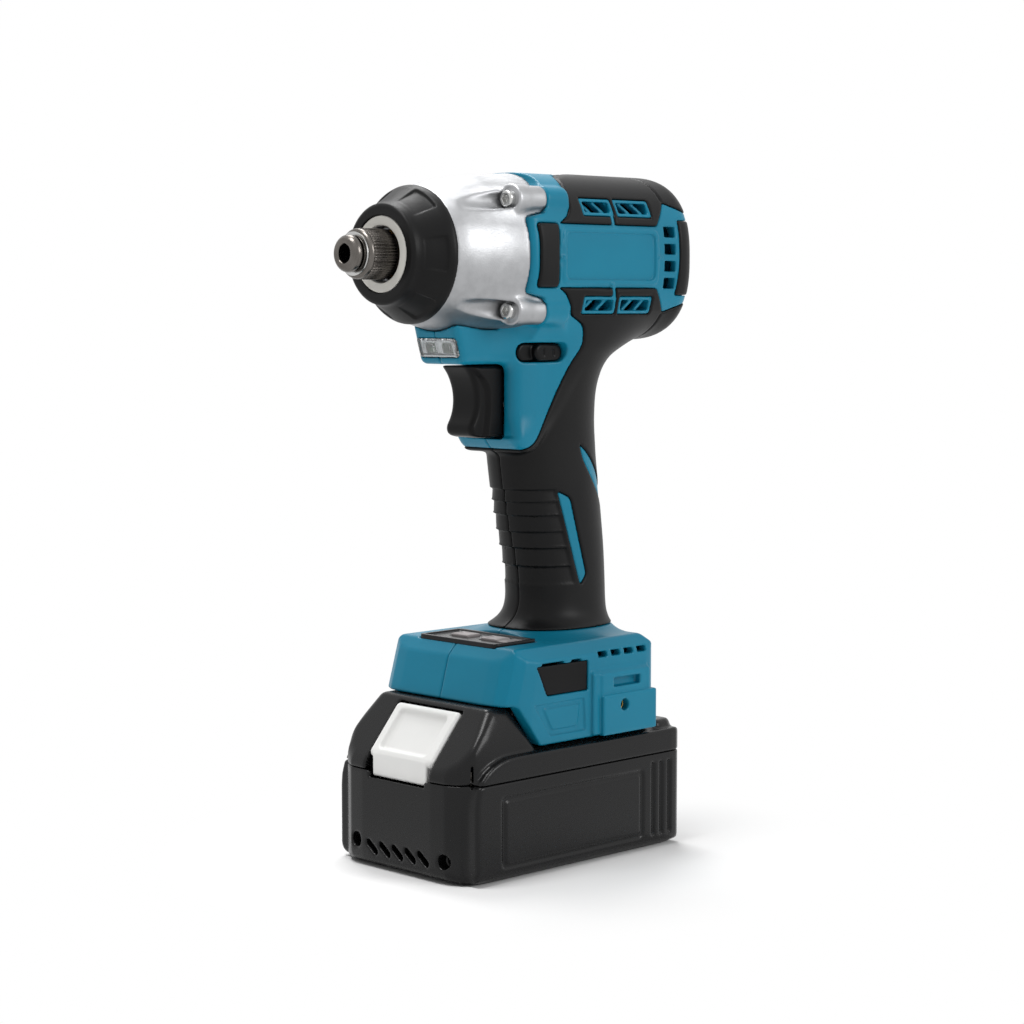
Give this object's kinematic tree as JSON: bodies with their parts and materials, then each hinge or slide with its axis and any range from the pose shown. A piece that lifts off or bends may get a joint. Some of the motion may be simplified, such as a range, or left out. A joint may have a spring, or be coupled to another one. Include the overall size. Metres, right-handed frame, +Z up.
{
  "type": "cordless impact driver",
  "caption": "Pistol-grip cordless impact driver with hex bit socket, hammer drive, brushless motor, trigger, work light and a slide-on battery pack.",
  "frame": {"origin": "middle of the battery pack's standing face", "axes": "+Z up, -X towards the bit socket, -Y the tool's left side"},
  "size_m": [0.1525, 0.0768, 0.2548],
  "materials": {
    "teal_plastic": "moulded satin",
    "overmould": "fine matt texture",
    "black_plastic": "moulded satin",
    "battery_plastic": "moulded semi-gloss",
    "dark_panel": "printed film",
    "key_plastic": "satin",
    "white_plastic": "satin",
    "frame_plastic": "satin",
    "lens": "clear moulded",
    "cast_aluminium": "cast and blasted",
    "plate_aluminium": "black anodised",
    "dark_steel": "phosphated",
    "steel": "ground",
    "lamination_steel": "stacked sheet",
    "copper": "enamelled wire",
    "bronze": "sintered",
    "brass": "plated",
    "board": "solder resist",
    "cell": "shrink sleeve",
    "lead": "smooth"
  },
  "bodies": {
    "body": {"anvil_bush": "bronze", "hammer_case": "cast_aluminium", "nose_bumper": "overmould", "case_screws": "dark_steel", "ring_gear": "steel", "gear_plate": "plate_aluminium", "spindle_bearing": "steel", "front_bearing": "steel", "rear_bearing": "steel", "stator_core": "lamination_steel", "stator_coils": "copper", "sensor_board": "board", "housing_left": "teal_plastic", "housing_right": "teal_plastic", "grip_left": "overmould", "grip_right": "overmould", "side_pads": "overmould", "housing_screws": "dark_steel", "trigger_spring": "steel", "trigger_switch": "black_plastic", "lamp_lens": "lens", "lamp_board": "board", "control_panel": "dark_panel", "controller_board": "board", "terminal_block": "black_plastic", "terminal_blades": "brass", "power_leads": "lead", "hook_inserts": "brass"},
    "anvil_body": {"anvil": "dark_steel", "sleeve_washer": "steel", "retaining_ring": "steel", "detent_balls": "steel", "sleeve_spring": "steel"},
    "sleeve_body": {"bit_sleeve": "dark_steel"},
    "spindle_body": {"spindle": "steel", "planet_pins": "steel", "cam_balls": "steel", "hammer_spring": "steel", "spring_seat": "steel"},
    "hammer_body": {"hammer": "dark_steel"},
    "planet_1": {"planet_gear_1": "steel"},
    "planet_2": {"planet_gear_2": "steel"},
    "planet_3": {"planet_gear_3": "steel"},
    "rotor_body": {"rotor_shaft": "steel", "rotor_core": "lamination_steel", "motor_fan": "black_plastic"},
    "trigger_body": {"trigger": "black_plastic"},
    "lever_body": {"direction_lever": "black_plastic"},
    "mode_key_body": {"mode_key": "key_plastic"},
    "light_key_body": {"light_key": "key_plastic"},
    "battery_body": {"battery_base": "battery_plastic", "battery_cover": "battery_plastic", "battery_cells": "cell", "cell_frames": "frame_plastic", "battery_board": "board", "battery_contacts": "brass", "battery_screws": "dark_steel", "latch_springs": "steel"},
    "latch_body": {"latch_button": "white_plastic"}
  },
  "joints": [
    {"name": "spindle_spin", "type": "hinge", "parent": "body", "child": "spindle_body", "pos_m": [0, 0, 0.2235], "axis": [1, 0, 0], "continuous": true},
    {"name": "anvil_spin", "type": "hinge", "parent": "body", "child": "anvil_body", "pos_m": [-0.06, 0, 0.2235], "axis": [1, 0, 0], "continuous": true},
    {"name": "rotor_spin", "type": "hinge", "parent": "body", "child": "rotor_body", "pos_m": [0.03, 0, 0.2235], "axis": [1, 0, 0], "continuous": true},
    {"name": "planet_1_spin", "type": "hinge", "parent": "spindle_body", "child": "planet_1", "pos_m": [-0.002, 0, 0.2355], "axis": [1, 0, 0], "continuous": true},
    {"name": "planet_2_spin", "type": "hinge", "parent": "spindle_body", "child": "planet_2", "pos_m": [-0.002, -0.01039, 0.2175], "axis": [1, 0, 0], "continuous": true},
    {"name": "planet_3_spin", "type": "hinge", "parent": "spindle_body", "child": "planet_3", "pos_m": [-0.002, 0.01039, 0.2175], "axis": [1, 0, 0], "continuous": true},
    {"name": "hammer_recoil", "type": "slide", "parent": "spindle_body", "child": "hammer_body", "axis": [1, 0, 0], "range_m": [0, 0.008], "stiffness_N_per_m": 8000, "deforming": ["hammer_spring"]},
    {"name": "sleeve_pull", "type": "slide", "parent": "anvil_body", "child": "sleeve_body", "axis": [-1, 0, 0], "range_m": [0, 0.004], "stiffness_N_per_m": 400, "deforming": ["sleeve_spring"]},
    {"name": "trigger_pull", "type": "slide", "parent": "body", "child": "trigger_body", "axis": [1, 0, 0], "range_m": [0, 0.0065], "stiffness_N_per_m": 1500, "deforming": ["trigger_spring"]},
    {"name": "lever_shift", "type": "slide", "parent": "body", "child": "lever_body", "axis": [0, 1, 0], "range_m": [-0.0025, 0.0025]},
    {"name": "mode_press", "type": "slide", "parent": "body", "child": "mode_key_body", "axis": [0, 0, -1], "range_m": [0, 0.0006], "stiffness_N_per_m": 1500},
    {"name": "light_press", "type": "slide", "parent": "body", "child": "light_key_body", "axis": [0, 0, -1], "range_m": [0, 0.0006], "stiffness_N_per_m": 1500},
    {"name": "battery_slide", "type": "slide", "parent": "body", "child": "battery_body", "axis": [-1, 0, 0], "range_m": [0, 0.115]},
    {"name": "latch_press", "type": "slide", "parent": "battery_body", "child": "latch_body", "axis": [0, 0, -1], "range_m": [0, 0.0035], "stiffness_N_per_m": 1200, "deforming": ["latch_springs"]}
  ],
  "couplings": [
    {"joint": "anvil_spin", "follows": "spindle_spin", "ratio": 1},
    {"joint": "rotor_spin", "follows": "spindle_spin", "ratio": 5},
    {"joint": "planet_1_spin", "follows": "spindle_spin", "ratio": -2.6667},
    {"joint": "planet_2_spin", "follows": "spindle_spin", "ratio": -2.6667},
    {"joint": "planet_3_spin", "follows": "spindle_spin", "ratio": -2.6667}
  ]
}
